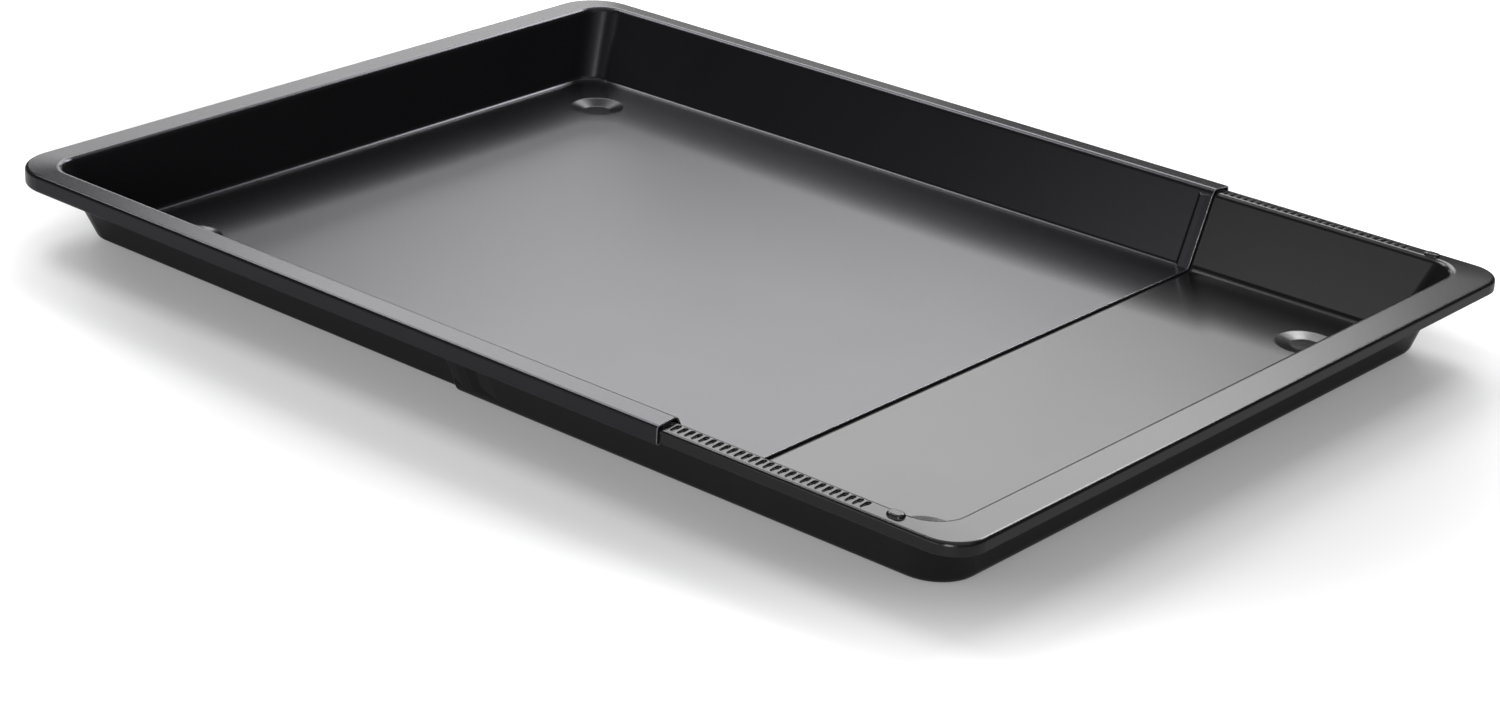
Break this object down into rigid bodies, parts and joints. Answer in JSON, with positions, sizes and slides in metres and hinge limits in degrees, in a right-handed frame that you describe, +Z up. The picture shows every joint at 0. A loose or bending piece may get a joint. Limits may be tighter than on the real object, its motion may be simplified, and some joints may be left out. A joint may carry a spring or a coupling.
{
  "type": "extendable baking tray",
  "caption": "Shallow rectangular baking tray in thin dark sheet: one half slides over the other along the rim to change the length.",
  "frame": {"origin": "under the middle of the tray as it stands part way open, on the surface that its feet stand on", "axes": "+X along the slide, from the fixed half's closed end to the sliding half's closed end; +Y across the tray; +Z up, out of the open top"},
  "size_m": [0.458, 0.332, 0.0319],
  "materials": {
    "fixed_half_coating": "satin black non-stick coating on pressed steel sheet",
    "sliding_half_coating": "satin black non-stick coating on pressed steel sheet"
  },
  "bodies": {
    "main_tray": {"main_tray": "fixed_half_coating"},
    "sliding_tray": {"sliding_tray": "sliding_half_coating"}
  },
  "joints": [
    {"name": "extension_slide", "type": "slide", "parent": "main_tray", "child": "sliding_tray", "axis": [1, 0, 0], "range_m": [-0.088, 0.062]}
  ]
}
